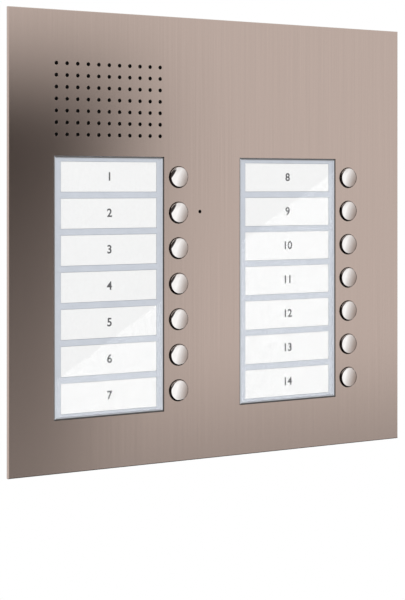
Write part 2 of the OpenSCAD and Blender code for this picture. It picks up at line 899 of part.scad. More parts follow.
// Paper cone with its edge flange, coil former and dust cap
module speaker_cone() {
    top_w = speaker_open_w - 2 * basket_wall - 2 * cone_gap;
    top_h = speaker_open_h - 2 * basket_wall - 2 * cone_gap;
    cone_depth = basket_depth - cone_rear_gap;
    former_d = 2 * coil_former_r;
    cap_h = 2;
    cap_r = coil_former_r + cone_t / 2;
    cap_bend_r = bend_radius(cap_r, cap_h);
    color(paper_grey) {
        sheet(rim_y - cone_flange_t, cone_flange_t)
            difference() {
                speaker_opening(cone_flange_lap);
                translate([speaker_x, speaker_z])
                    rounded_rect(top_w - 2 * cone_t, top_h - 2 * cone_t, speaker_corner_r);
            }
        difference() {
            funnel(rim_y, cone_depth, top_w, top_h, former_d + 2 * cone_t);
            funnel(
                rim_y - stop_gap, cone_depth + 2 * stop_gap,
                top_w - 2 * cone_t, top_h - 2 * cone_t, former_d
            );
        }
        turned(speaker_x, rim_y + cone_depth, speaker_z) {
            translate([coil_former_r - coil_former_t, -coil_former_t])
                square([coil_former_t, basket_depth - cone_depth + pole_t + coil_former_t]);
            intersection() {
                translate([0, cap_bend_r - cap_h])
                    difference() {
                        circle(cap_bend_r, $fn = 180);
                        circle(cap_bend_r - coil_former_t, $fn = 180);
                    }
                translate([0, -cap_h]) square([cap_r, cap_h]);
            }
        }
    }
}

// Ring magnet with its front plate, back plate and pole
module speaker_magnet() {
    magnet_r = magnet_d / 2;
    rear = pole_t + magnet_t;
    color(magnet_grey)
        turned(speaker_x, basket_rear_y, speaker_z)
            difference() {
                polygon([
                    [0, 0], [magnet_r - pole_step, 0], [magnet_r - pole_step, pole_t], [magnet_r, pole_t],
                    [magnet_r, rear], [magnet_r - back_step, rear],
                    [magnet_r - back_step, rear + pole_t], [0, rear + pole_t]
                ]);
                translate([coil_former_r - coil_former_t - magnet_gap, -overcut])
                    square([coil_former_t + 2 * magnet_gap, coil_slot_depth + overcut]);
            }
}

module microphone_boot() {
    color(rubber)
        turned(column_x[0] + mic_x, 0, mic_z)
            difference() {
                square([mic_boot_r, mic_boot_length]);
                translate([0, -overcut]) square([mic_hole_d / 2 + mic_throat_gap, mic_front + 2 * overcut]);
                translate([0, mic_front]) square([mic_d / 2, mic_length + overcut]);
            }
}

// Capsule with its two pins down to the key board
module microphone_capsule() {
    pin_r = 0.35;
    pin_x = 1.27;
    pin_y = mic_boot_length - stop_gap;
    x = column_x[0] + mic_x;
    color(capsule_silver) {
        bar(x, mic_front, mic_z, mic_d / 2, mic_length);
        for (s = [-1, 1])
            bar(x + s * pin_x, pin_y, mic_z, pin_r, board_y - pin_y);
    }
}

// Stands the panel on the wall, which the seal's rear face touches
module on_wall() {
    translate([0, -wall_seal_t, 0]) children();
}

on_wall() {
    front_plate();
    wall_studs();
    module_studs();
    module_nuts();
    wall_seal();
    window_seals();
    name_cards();
    button_seals();
    contact_domes();
    label_lamps();
    board_bridges();
    main_board();
    board_spacers();
    terminal_block();
    terminal_screws();
    signal_chips();
    capacitors();
    speaker_gauze();
    speaker_gasket();
    speaker_basket();
    speaker_cone();
    speaker_magnet();
    microphone_boot();
    microphone_capsule();
    for (side = [0, 1]) {
        window_pane(side);
        label_tray(side);
        button_carrier(side);
        key_board(side);
    }
    for (i = [0:bells - 1]) {
        button_cap(i);
        return_spring(i);
    }
}
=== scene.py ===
"""Door intercom panel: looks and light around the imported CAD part. Metres, front towards -Y."""

import itertools
import json
import math

import bmesh
import bpy
from mathutils import Matrix, Vector


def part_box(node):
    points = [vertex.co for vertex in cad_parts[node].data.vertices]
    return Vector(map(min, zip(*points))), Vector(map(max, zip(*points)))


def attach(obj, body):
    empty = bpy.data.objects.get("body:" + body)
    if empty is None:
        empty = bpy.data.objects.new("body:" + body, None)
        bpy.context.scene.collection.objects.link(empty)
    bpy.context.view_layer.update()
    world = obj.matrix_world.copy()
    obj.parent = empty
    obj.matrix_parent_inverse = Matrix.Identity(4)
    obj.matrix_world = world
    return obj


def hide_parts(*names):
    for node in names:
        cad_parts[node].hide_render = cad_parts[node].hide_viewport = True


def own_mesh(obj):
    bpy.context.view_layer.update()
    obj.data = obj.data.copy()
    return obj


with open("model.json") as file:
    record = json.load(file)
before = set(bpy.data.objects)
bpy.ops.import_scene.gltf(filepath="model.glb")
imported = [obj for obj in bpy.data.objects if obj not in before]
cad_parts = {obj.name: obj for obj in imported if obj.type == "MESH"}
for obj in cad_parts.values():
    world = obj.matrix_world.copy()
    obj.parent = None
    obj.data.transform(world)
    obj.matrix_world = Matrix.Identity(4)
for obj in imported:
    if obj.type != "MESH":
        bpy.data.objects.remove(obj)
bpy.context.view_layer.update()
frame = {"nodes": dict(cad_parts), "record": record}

MM = 0.001
PANEL = "panel"
BELLS = 14
ROWS = 7
COLUMNS = ("left", "right")

# Camera, from the photograph's own perspective
IMAGE_H = 600
HORIZON_PX = 187.6
FOCAL_PX = 1539
SENSOR_MM = 36
CAMERA_YAW = math.radians(31.01)
CAMERA_PLACE = Vector((-460.8, -753.5, 29.1)) * MM
CAMERA_CLIP = (0.01, 100)

# Springs, as they sit between button and guide
SPRING_WIRE_D = 0.7 * MM
SPRING_COIL_D = 6.6 * MM
SPRING_TURNS = 4.5
SPRING_RINGS_PER_TURN = 32
SPRING_WIRE_SIDES = 12

# Threaded studs: the welded foot is wider than the shank
STUD_FOOT_W = 1 * MM
STUD_FOOT_T = 0.8 * MM
STUD_SIDES = 24
THREAD_STEPS = 6
THREAD_DEPTH_SHARE = 0.6
THREAD_STEEPNESS = 2.6
THREAD_CREST = 0.8
WALL_STUD_PITCH = 0.7 * MM
MODULE_STUD_PITCH = 0.5 * MM

# Values between which nearly all of a noise pattern lies
NOISE_LOW = 0.3
NOISE_HIGH = 0.7

# Share of light that each face of a clear pane throws back square on, and the power by which it grows
PANE_GLOSS = 0.04
PANE_GLOSS_POWER = 5.0

# Front of a pane from its bevel inwards: a line of painted shade, then a matt rim over the walls, wider on
# the right.
# The painted shade on the edge is lighter where it looks to the left
PANE_SHADE_LINE = 0.65 * MM
PANE_RIM = 0.45 * MM
PANE_RIM_RIGHT = 0.55 * MM
PANE_EDGE_TURN = (-0.6, -0.2)

# Air between pane and tray
PANE_AIR = 0.06 * MM

# Slots of a pane's looks
CLEAR, RIM, EDGE = range(3)

# Size of a normal's Y: above the first a face looks straight to front or rear, below the second sideways
STRAIGHT = 0.9
SIDEWAYS = 0.1

# A button's face is part of a ball. The normal's Y tells face from flank, where a dark reflection is
# painted, and Z the flank's top, where that painted reflection is weaker
CROWN_R = 19.1 * MM
FACE_TURN = -0.93
FLANK_TURN = (-0.86, -0.74)
FLANK_TOP = (0.3, 0.55)
FLANK_TOP_SHADE = 0.2

# The outermost part of a button's face bends away, fully on its right half
BUTTON_EDGE = (4.75 * MM, 5.75 * MM)
BUTTON_EDGE_SIDE = (-2 * MM, 2 * MM)
BUTTON_BEND = 0.65

# Brushing of the plate: stretch and share of the fine and the broad lines, and their way
BRUSH_FINE = (3000, 3000, 14)
BRUSH_BROAD = (1000, 1000, 5)
BRUSH_FINE_SHARE = 0.6
BRUSH_BROAD_SHARE = 0.4
BRUSH_WAY = (0.05, 0.02, 1)

# Cut edges of the plate look sideways and lie further than this inside its outline. These hole walls get
# painted shade, near black, and a duller finish
PLATE_EDGE = 2 * MM
PLATE_EDGE_TURN = 0.5
PLATE_EDGE_DULL = 0.4

# How far the roughness wanders on moulded parts, metal and cans
MOULDED_WANDER = 0.06
METAL_WANDER = 0.07
CAN_WANDER = (-0.06, 0.08)

# How much lighter a can's cover is where it is worn
COVER_WEAR = 1.25

# Small rounding that every hard edge shows
EDGE_ROUNDING = 0.15 * MM
SHARP_ANGLE = math.radians(35)
WELD_DISTANCE = 0.001 * MM
WELD_ANGLE = math.radians(0.1)

# Numbers on the cards
NUMBER_HEIGHT = 6.4 * MM
NUMBER_BOLD = 0.13 * MM
NUMBER_INK = 0.02 * MM

# Copper tracks and small parts on the rear of the boards
TRACK_T = 0.04 * MM
TRACK_W = 0.45 * MM
RAIL_W = 1.4 * MM
LANE_PITCH = 1.0 * MM
LANE_LEVEL_PITCH = 0.5 * MM
LANE_OFFSET = 2 * MM
CORNER_CUT = 1.2 * MM
LAMP_PIN_SPREAD = 2.54 * MM
JOINT_FOOT_R = 0.95 * MM
JOINT_PIN_R = 0.34 * MM
JOINT_CONE_H = 0.75 * MM
JOINT_H = 1.2 * MM
JOINT_SIDES = 14
JOINT_STEPS = 5
RESISTOR = Vector((3.2, 0.6, 1.6)) * MM
RESISTOR_OFFSET = 8 * MM
DIODE = Vector((3.6, 1.2, 1.7)) * MM
DIODE_OFFSET = -9 * MM
TINNED_SHARE = 0.18
TINNED_GROWTH = 1.04
PART_CHAMFER = 0.06 * MM
RAIL_OFFSETS = (-7 * MM, 14 * MM)
LEG_W = 0.42 * MM
LEG_PITCH = 1.27 * MM
LEG_REACH = 1.3 * MM
LEG_T = 0.18 * MM
LEG_BENDS = (0.3, 0.4, 0.55, 0.65)
CRYSTAL = Vector((4.6, 3.6, 10.5)) * MM
CRYSTAL_CHAMFER = 1.2 * MM

# Rows of small parts on the main board, counted from its first chip
RESISTOR_ROW = 13
RESISTOR_ROW_START = -6 * MM
RESISTOR_ROW_PITCH = 7.6 * MM
RESISTOR_ROW_DROP = 4 * MM
DIODE_ROW = 5
DIODE_ROW_START = -12 * MM
DIODE_ROW_PITCH = 6 * MM
DIODE_ROW_RISE = 6 * MM
TERMINAL_TRACK_DROP = 4 * MM
TERMINAL_TRACK_STEP = 1 * MM
TERMINAL_TRACK_LEVELS = 3
TRACK_UNDER_CHIP = 2.7 * MM
BRIDGE_FIRST_LEVEL = 2
BRIDGE_LAP = 1 * MM

# Studio: light on matt surfaces, the floor, and cloths for reflections
MATT_LIGHT = 0.925
FLOOR_Z = -0.45
FLOOR_RADIUS = 0.55
FLOOR_SIDES = 96
FLOOR_GLOW = 0.85
CLOTH_RADIUS = 0.5
CLOTH_LIFT = 0.004
DARK_CLOTH = (0.032, 0.026, 0.024, 1)
WARM_CLOTH = (0.36, 0.288, 0.255, 1)

# Room that only mirrors show. Each edge is a span of how far the way goes towards a side or along an axis
ROOM_RADIUS = 3
ROOM_SUBDIVISIONS = 4
ROOM_DARK_SIDE = (-0.813, 0.086, 0.577)
ROOM_DARK_EDGE = (-0.105, -0.055)
ROOM_FAR_LEFT = (-0.82, -0.7)
ROOM_OPEN_TOP = (0.36, 0.46)
ROOM_OPEN_SIDE = (0.0, 0.2)
ROOM_BACK_EDGE = (-0.42, -0.34)
ROOM_BACK_TOP = (0.3, 0.6)
ROOM_WARM_SIDE = (0.93, -0.25, -0.27)
ROOM_WARM_EDGE = (0.55, 0.98)
ROOM_CEILING_EDGE = (0.1, 0.55)
ROOM_CEILING_COVER = 0.3

# Flag that only blurred reflections show. Each fade is a span of X or Z
FLAG_Y = -1.5
FLAG_SPAN_X = (0, 1.6)
FLAG_SPAN_Z = (-0.8, 0.6)
FLAG_FADE_LEFT = (0.08, 0.33)
FLAG_FADE_RIGHT = (0.62, 0.84)
FLAG_SLANT = 0.1
FLAG_FADE_TOP = (0.105, 0.35)
FLAG_FADE_LOW = (-0.45, 0.1)
FLAG_LOW_COVER = 0.68
FLAG_FOOT = (-0.5, -0.22)
FLAG_FOOT_COVER = 0.42

# Lamps. The panes' lamp has two points of its upper edge as X and Z in the flag's plane
KEY_PLACE = (0.7, -0.9, 1.1)
KEY_SIZE = (0.8, 0.8)
KEY_POWER = 5
PANE_GLOW_FROM = (0.612, -0.283)
PANE_GLOW_TO = (1.170, 0.061)
PANE_GLOW_SIZE = (1.6, 0.9)
PANE_GLOW_POWER = 14


class Nodes:
    """Short calls for the nodes of one material or world."""

    def __init__(self, tree):
        self.tree = tree

    def new(self, kind, inputs=None, **settings):
        node = self.tree.nodes.new("ShaderNode" + kind)
        for name, value in settings.items():
            setattr(node, name, value)
        for name, value in (inputs or {}).items():
            if isinstance(value, bpy.types.NodeSocket):
                self.tree.links.new(value, node.inputs[name])
            else:
                node.inputs[name].default_value = value
        return node

    def scaled(self, value, low, high, to_low, to_high, curve="LINEAR"):
        inputs = {"Value": value, "From Min": low, "From Max": high, "To Min": to_low, "To Max": to_high}
        return self.new("MapRange", inputs, interpolation_type=curve).outputs["Result"]

    def fade(self, value, span, first, last):
        return self.scaled(value, *span, first, last, "SMOOTHSTEP")

    def maths(self, operation, a, b):
        return self.new("Math", {0: a, 1: b}, operation=operation).outputs["Value"]

    def product(self, *values):
        total = values[0]
        for value in values[1:]:
            total = self.maths("MULTIPLY", total, value)
        return total

    def most(self, *values):
        top = values[0]
        for value in values[1:]:
            top = self.maths("MAXIMUM", top, value)
        return top

    def split(self, vector):
        return self.new("SeparateXYZ", {"Vector": vector}).outputs

    def towards(self, way, direction):
        return self.new("VectorMath", {0: way, 1: direction}, operation="DOT_PRODUCT").outputs["Value"]

    def paths(self):
        return self.new("LightPath").outputs

    def looking(self):
        """One for rays that show a background, straight on, mirrored or through glass. Else zero."""
        path = self.paths()
        return self.most(path["Is Camera Ray"], path["Is Glossy Ray"], path["Is Transmission Ray"])


class Surface(Nodes):
    """A Principled material and what feeds it."""

    def __init__(self, name, **values):
        self.material = bpy.data.materials.new(name)
        self.material.use_nodes = True
        super().__init__(self.material.node_tree)
        self.shader = self.tree.nodes["Principled BSDF"]
        self.output = self.tree.nodes["Material Output"]
        for socket, value in values.items():
            self.shader.inputs[socket.replace("_", " ")].default_value = value

    def feed(self, socket, value):
        self.tree.links.new(value, self.shader.inputs[socket])

    def show(self, node):
        self.tree.links.new(node.outputs[0], self.output.inputs["Surface"])

    def mixed(self, share, first, second):
        return self.new("MixShader", {"Fac": share, 1: first.outputs[0], 2: second.outputs[0]})

    def place(self, stretch=(1, 1, 1)):
        where = self.new("TexCoord").outputs["Object"]
        return self.new("Mapping", {"Vector": where, "Scale": stretch}).outputs["Vector"]

    def noise(self, scale, stretch=(1, 1, 1), detail=2.0):
        inputs = {"Vector": self.place(stretch), "Scale": scale, "Detail": detail}
        return self.new("TexNoise", inputs).outputs["Fac"]

    def spread(self, pattern, first, last):
        return self.scaled(pattern, NOISE_LOW, NOISE_HIGH, first, last)

    def between(self, share, first, second):
        inputs = {"Factor": share, 6: first, 7: second}
        return self.new("Mix", inputs, data_type="RGBA").outputs[2]

    def rounded(self):
        return self.new("Bevel", {"Radius": EDGE_ROUNDING}, samples=4).outputs["Normal"]

    def normal(self):
        return self.new("NewGeometry").outputs["Normal"]

    def facing(self, axis="Y"):
        return self.split(self.normal())[axis]

    def bump(self, height, strength, distance, normal=None):
        base = normal or self.rounded()
        inputs = {"Height": height, "Strength": strength, "Distance": distance, "Normal": base}
        self.feed("Normal", self.new("Bump", inputs).outputs["Normal"])

    def tone(self, pattern, dark, light):
        return self.between(self.spread(pattern, 0, 1), (*dark, 1), (*light, 1))

    def mottle(self, dark, light, scale, stretch=(1, 1, 1), detail=2.0):
        """Base colour that wanders between two tones, and the pattern it follows."""
        pattern = self.noise(scale, stretch, detail)
        self.feed("Base Color", self.tone(pattern, dark, light))
        return pattern


def brushed_plate():
    """Stainless sheet with a warm tint, brushed from top to bottom. The cut edges inside it carry painted
    shade, near black.
    """
    s = Surface("brushed_plate", Metallic=1.0, Anisotropic=0.5)
    fine = s.noise(scale=1, stretch=BRUSH_FINE, detail=3)
    broad = s.noise(scale=1, stretch=BRUSH_BROAD)
    lines = s.maths("ADD", s.product(fine, BRUSH_FINE_SHARE), s.product(broad, BRUSH_BROAD_SHARE))
    sheet = s.tone(lines, (0.475, 0.381, 0.336), (0.515, 0.413, 0.365))
    low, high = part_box("front_plate")
    where = s.split(s.place())
    cut = s.product(
        s.maths("LESS_THAN", s.maths("ABSOLUTE", s.facing(), 0.0), PLATE_EDGE_TURN),
        s.maths("LESS_THAN", s.maths("ABSOLUTE", where["X"], 0.0), high.x - PLATE_EDGE),
        s.maths("LESS_THAN", where["Z"], high.z - PLATE_EDGE),
        s.maths("GREATER_THAN", where["Z"], low.z + PLATE_EDGE),
    )
    # Painted shade: the walls of the holes are coloured near black
    s.feed("Base Color", s.between(cut, sheet, (0.05, 0.042, 0.038, 1)))
    s.feed("Roughness", s.maths("ADD", s.spread(lines, 0.145, 0.125), s.product(cut, PLATE_EDGE_DULL)))
    across = s.new("VectorMath", {0: s.normal(), 1: BRUSH_WAY}, operation="CROSS_PRODUCT")
    s.feed("Tangent", across.outputs["Vector"])
    s.bump(lines, strength=0.05, distance=0.01 * MM)
    return s.material


def polished_button():
    """Turned steel: a polished face with a trace of waviness, and a flank painted with a dark reflection,
    lighter on top.
    """
    s = Surface("polished_button", Metallic=1.0, Roughness=0.0)
    haze = s.noise(scale=420, detail=3)
    face = s.tone(haze, (0.93, 0.905, 0.89), (0.975, 0.95, 0.935))
    # Painted dark reflection on the flank and its rounding, weaker where the flank looks up
    painted_dark_fading_up = s.fade(s.facing("Z"), FLANK_TOP, 1, FLANK_TOP_SHADE)
    painted_dark_flank = s.product(s.fade(s.facing(), FLANK_TURN, 0, 1), painted_dark_fading_up)
    s.feed("Base Color", s.between(painted_dark_flank, face, (0.06, 0.05, 0.045, 1)))
    low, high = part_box("button_cap_01")
    width = high.x - low.x
    from_centre = {"Location": (-width / 2, -CROWN_R, -width / 2), "Scale": (width, 0, width)}
    box_place = s.new("TexCoord").outputs["Generated"]
    where = s.split(s.new("Mapping", {"Vector": box_place, **from_centre}).outputs["Vector"])
    x, z = where["X"], where["Z"]
    radius = s.maths("SQRT", s.maths("ADD", s.product(x, x), s.product(z, z)), 0.0)
    bend = s.product(s.fade(radius, BUTTON_EDGE, 0, BUTTON_BEND), s.fade(x, BUTTON_EDGE_SIDE, 0, 1))
    out = s.new("CombineXYZ", {"X": x, "Y": s.scaled(bend, 0, 1, -CROWN_R, 0), "Z": z}).outputs["Vector"]
    ball = s.new("VectorMath", {0: out}, operation="NORMALIZE").outputs["Vector"]
    choice = {"Factor": s.maths("LESS_THAN", s.facing(), FACE_TURN), 4: s.rounded(), 5: ball}
    normal = s.new("Mix", choice, data_type="VECTOR").outputs[1]
    s.bump(haze, strength=0.02, distance=0.01 * MM, normal=normal)
    return s.material


def clear_pane():
    """Clear acrylic: light goes straight through, and the gloss follows the viewing angle."""
    s = Surface("clear_pane", Roughness=0.0, IOR=1.49, Alpha=0.06)
    s.mottle((0.93, 0.95, 0.97), (0.95, 0.97, 0.98), scale=60)
    through = s.new("BsdfTransparent", {"Color": (0.985, 0.99, 0.995, 1)})
    gloss = s.new("BsdfGlossy", {"Color": (1, 1, 1, 1), "Roughness": 0.0})
    facing = s.new("LayerWeight", {"Blend": 0.5}).outputs["Facing"]
    share = s.scaled(s.maths("POWER", facing, PANE_GLOSS_POWER), 0, 1, PANE_GLOSS, 1)
    s.show(s.mixed(share, through, gloss))
    return s.material


def pane_rim():
    """The pane's frosted walls, seen through its polished front."""
    s = Surface("pane_rim", Roughness=0.5, Coat_Weight=1.0, Coat_Roughness=0.0, Coat_IOR=1.49)
    s.mottle((0.50, 0.533, 0.59), (0.54, 0.573, 0.63), scale=900)
    return s.material


def pane_edge():
    """The pane's outermost edge, painted with the plate's shade except on its left."""
    s = Surface("pane_edge", Roughness=0.6, Specular_IOR_Level=0.2)
    shade = s.tone(s.noise(scale=900), (0.115, 0.111, 0.111), (0.145, 0.14, 0.14))
    shaded = s.fade(s.facing("X"), PANE_EDGE_TURN, 0, 1)
    s.feed("Base Color", s.between(shaded, (0.38, 0.385, 0.40, 1), shade))
    return s.material


def moulded(name, dark, light, roughness, grain=2400, depth=0.03 * MM):
    """Moulded plastic or rubber: mottled tone and a fine spark-eroded grain."""
    s = Surface(name)
    s.mottle(dark, light, scale=140, detail=3)
    texture = s.noise(scale=grain)
    s.feed("Roughness", s.spread(texture, roughness - MOULDED_WANDER, roughness + MOULDED_WANDER))
    s.bump(texture, strength=0.25, distance=depth)
    return s.material


def metal(name, dark, light, roughness):
    """Plain or plated metal with blotches and fine marks."""
    s = Surface(name, Metallic=1.0)
    blotch = s.mottle(dark, light, scale=300, detail=3)
    marks = s.noise(scale=1800, stretch=(1, 0.2, 1))
    both = s.maths("ADD", s.product(blotch, 0.5), s.product(marks, 0.5))
    s.feed("Roughness", s.spread(both, roughness - METAL_WANDER, roughness + METAL_WANDER))
    s.bump(marks, strength=0.15, distance=0.01 * MM)
    return s.material


def white_card():
    """Smooth white card with a trace of paper fibre."""
    s = Surface("white_card", Specular_IOR_Level=0.3)
    paper = {"scale": 900, "stretch": (1, 1, 0.5), "detail": 3}
    fibre = s.mottle((0.90, 0.895, 0.885), (0.94, 0.935, 0.925), **paper)
    s.feed("Roughness", s.spread(fibre, 0.55, 0.7))
    s.bump(fibre, strength=0.1, distance=0.02 * MM)
    return s.material


def solder_mask(name, dark, light):
    """Glossy green lacquer, a little uneven, over the boards or over a raised track."""
    s = Surface(name, Specular_IOR_Level=0.5, Coat_Weight=0.3, Coat_Roughness=0.15)
    cloud = s.mottle(dark, light, scale=90, detail=4)
    s.feed("Roughness", s.spread(cloud, 0.25, 0.38))
    s.bump(s.noise(scale=1600), strength=0.12, distance=0.02 * MM)
    return s.material


def woven(name, dark, light, pitch):
    """Fine woven gauze: threads crossing at a small pitch."""
    s = Surface(name, Roughness=0.9, Specular_IOR_Level=0.2)
    where = s.split(s.place())
    across = s.maths("PINGPONG", where["X"], pitch / 2)
    along = s.maths("PINGPONG", where["Z"], pitch / 2)
    height = s.scaled(s.most(across, along), 0, pitch / 2, 0, 1)
    s.feed("Base Color", s.between(height, (*dark, 1), (*light, 1)))
    s.bump(height, strength=0.6, distance=0.1 * MM)
    return s.material


def two_ended(name, cover, bare, roughness, bare_ends):
    """A metal can with a dark cover, bare where its normal's Y lies between two limits."""
    s = Surface(name)
    facing = s.facing()
    low, high = bare_ends
    shows = s.product(s.maths("GREATER_THAN", facing, low), s.maths("LESS_THAN", facing, high))
    mark = s.noise(scale=700, detail=3)
    shade = s.tone(mark, cover, [COVER_WEAR * tint for tint in cover])
    s.feed("Base Color", s.between(shows, shade, (*bare, 1)))
    s.feed("Metallic", shows)
    s.feed("Roughness", s.spread(mark, *(roughness + wander for wander in CAN_WANDER)))
    return s.material


def number_ink():
    """Dark grey print on the cards."""
    s = Surface("number_ink", Specular_IOR_Level=0.2)
    print_grain = s.mottle((0.055, 0.055, 0.06), (0.075, 0.075, 0.08), scale=2500)
    s.feed("Roughness", s.spread(print_grain, 0.6, 0.75))
    return s.material


# Dark and light tone and roughness, and for some the scale and depth of the grain
MOULDED = {
    "tray_plastic": ((0.55, 0.583, 0.645), (0.59, 0.623, 0.685), 0.45),
    "black_plastic": ((0.022, 0.022, 0.024), (0.034, 0.034, 0.036), 0.5),
    "chip_plastic": ((0.016, 0.016, 0.017), (0.026, 0.026, 0.027), 0.6),
    "pale_plastic": ((0.70, 0.69, 0.64), (0.78, 0.77, 0.72), 0.45),
    "grey_plastic": ((0.26, 0.28, 0.29), (0.32, 0.34, 0.35), 0.48),
    "black_rubber": ((0.014, 0.014, 0.014), (0.026, 0.026, 0.025), 0.78, 1500, 0.06 * MM),
    "lamp_body": ((0.86, 0.80, 0.52), (0.92, 0.88, 0.68), 0.35),
    "cone_paper": ((0.045, 0.045, 0.047), (0.075, 0.075, 0.078), 0.85, 700, 0.12 * MM),
}

# Dark and light tone and roughness
METALS = {
    "zinc_steel": ((0.56, 0.57, 0.56), (0.68, 0.69, 0.68), 0.33),
    "bright_steel": ((0.70, 0.69, 0.67), (0.80, 0.79, 0.77), 0.2),
    "spring_wire": ((0.48, 0.48, 0.47), (0.60, 0.60, 0.59), 0.28),
    "magnet_steel": ((0.17, 0.17, 0.18), (0.25, 0.25, 0.26), 0.42),
}

MATERIALS = {
    "brushed_plate": brushed_plate(),
    "polished_button": polished_button(),
    "clear_pane": clear_pane(),
    "white_card": white_card(),
    "circuit_board": solder_mask("circuit_board", (0.012, 0.10, 0.045), (0.018, 0.13, 0.06)),
    "can_sleeve": two_ended("can_sleeve", (0.028, 0.034, 0.062), (0.72, 0.72, 0.72), 0.34, (0.8, 2)),
    "black_gauze": woven("black_gauze", (0.008, 0.008, 0.008), (0.03, 0.03, 0.03), 0.35 * MM),
    "capsule_metal": two_ended("capsule_metal", (0.01, 0.01, 0.01), (0.7, 0.7, 0.69), 0.4, (-0.8, 2)),
    **{name: moulded(name, *look) for name, look in MOULDED.items()},
    **{name: metal(name, *look) for name, look in METALS.items()},
}
PANE_RIM_MATT = pane_rim()
PANE_EDGE_PAINTED_SHADE = pane_edge()
TRACK_GREEN = solder_mask("track_green", (0.035, 0.20, 0.09), (0.045, 0.235, 0.11))
TIN = metal("tin", (0.62, 0.63, 0.64), (0.74, 0.75, 0.76), 0.24)


def dress_nodes():
    """Every CAD node gets the procedural material of its slot."""
    for part in frame["record"]["subparts"]:
        mesh = frame["nodes"][part["node"]].data
        mesh.materials.clear()
        mesh.materials.append(MATERIALS[part["material_slot"]])


def solids(node):
    """Lowest and highest corner of each separate solid in a CAD node, by columns from the left."""
    shape = bmesh.new()
    shape.from_mesh(frame["nodes"][node].data)
    bmesh.ops.remove_doubles(shape, verts=shape.verts, dist=WELD_DISTANCE)
    loose = set(shape.verts)
    boxes = []
    for start in shape.verts:
        if start not in loose:
            continue
        loose.remove(start)
        group = [start]
        for corner in group:
            for edge in corner.link_edges:
                other = edge.other_vert(corner)
                if other in loose:
                    loose.remove(other)
                    group.append(other)
        sides = list(zip(*(corner.co for corner in group)))
        boxes.append((Vector(map(min, sides)), Vector(map(max, sides))))
    shape.free()
    return sorted(boxes, key=lambda box: (round(box[0].x / MM), -box[0].z))


def middle(box):
    return (box[0] + box[1]) / 2


def mesh_from(name, shape):
    """A Blender mesh from finished bmesh shapes, smooth except at sharp edges."""
    bmesh.ops.recalc_face_normals(shape, faces=shape.faces)
    mesh = bpy.data.meshes.new(name)
    shape.to_mesh(mesh)
    shape.free()
    for face in mesh.polygons:
        face.use_smooth = True
    mesh.set_sharp_from_angle(angle=SHARP_ANGLE)
    return mesh


def new_piece(name, mesh, material):
    piece = bpy.data.objects.new(name, mesh)
    bpy.context.scene.collection.objects.link(piece)
    mesh.materials.clear()
    mesh.materials.append(material)
    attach(piece, PANEL)
    return piece


def skin(shape, loops):
    """Closed skin over loops that all have the same number of corners."""
    rings = [[shape.verts.new(corner) for corner in loop] for loop in loops]
    sides = len(rings[0])
    for first, second in zip(rings, rings[1:]):
        for side in range(sides):
            after = (side + 1) % sides
            shape.faces.new((first[side], first[after], second[after], second[side]))
    shape.faces.new(rings[0])
    shape.faces.new(rings[-1])


def round_loop(centre, radius, sides):
    """Corners of a ring round the Y axis through a point. The radius may follow the angle."""
    loop = []
    for side in range(sides):
        a = 2 * math.pi * side / sides
        r = radius(a) if callable(radius) else radius
        loop.append(centre + Vector((r * math.cos(a), 0, r * math.sin(a))))
    return loop


def block(shape, centre, size, chamfer):
    """A box with small chamfers. Each corner has one point on each of the three sides that meet there."""
    points = {}
    for signs in itertools.product((-1, 1), repeat=3):
        for side in range(3):
            reach = [length / 2 - chamfer * (axis != side) for axis, length in enumerate(size)]
            offset = Vector([sign * r for sign, r in zip(signs, reach)])
            points[side, signs] = shape.verts.new(centre + offset)
        shape.faces.new([points[side, signs] for side in range(3)])

    def point(side, axis, along, first, second):
        signs = (along, first, second)
        return points[side, tuple(signs[(k - axis) % 3] for k in range(3))]

    for axis in range(3):
        after, last = (axis + 1) % 3, (axis + 2) % 3
        for end in (-1, 1):
            around = ((-1, -1), (1, -1), (1, 1), (-1, 1))
            shape.faces.new([point(axis, axis, end, *pair) for pair in around])
        for pair in itertools.product((-1, 1), repeat=2):
            strip = ((after, -1), (after, 1), (last, 1), (last, -1))
            shape.faces.new([point(side, axis, end, *pair) for side, end in strip])


def spring_mesh(name, centre, front_y, rear_y):
    """Round wire wound between two depths, closed at both ends."""
    rings = round(SPRING_TURNS * SPRING_RINGS_PER_TURN)
    wire_r = SPRING_WIRE_D / 2
    climb = rear_y - front_y - SPRING_WIRE_D
    slope = climb / (SPRING_TURNS * math.pi * SPRING_COIL_D)
    loops = []
    for k in range(rings + 1):
        turn = 2 * math.pi * SPRING_TURNS * k / rings
        out = Vector((math.cos(turn), 0, -math.sin(turn)))
        along = Vector((-math.sin(turn), slope, -math.cos(turn))).normalized()
        up = along.cross(out)
        wire = Vector((centre.x, front_y + wire_r + climb * k / rings, centre.z)) + out * SPRING_COIL_D / 2
        around = [2 * math.pi * side / SPRING_WIRE_SIDES for side in range(SPRING_WIRE_SIDES)]
        loops.append([wire + wire_r * (math.cos(a) * out + math.sin(a) * up) for a in around])
    shape = bmesh.new()
    skin(shape, loops)
    return mesh_from(name, shape)


def face_x(face):
    return face.calc_center_median().x


def face_y(face):
    return face.calc_center_median().y


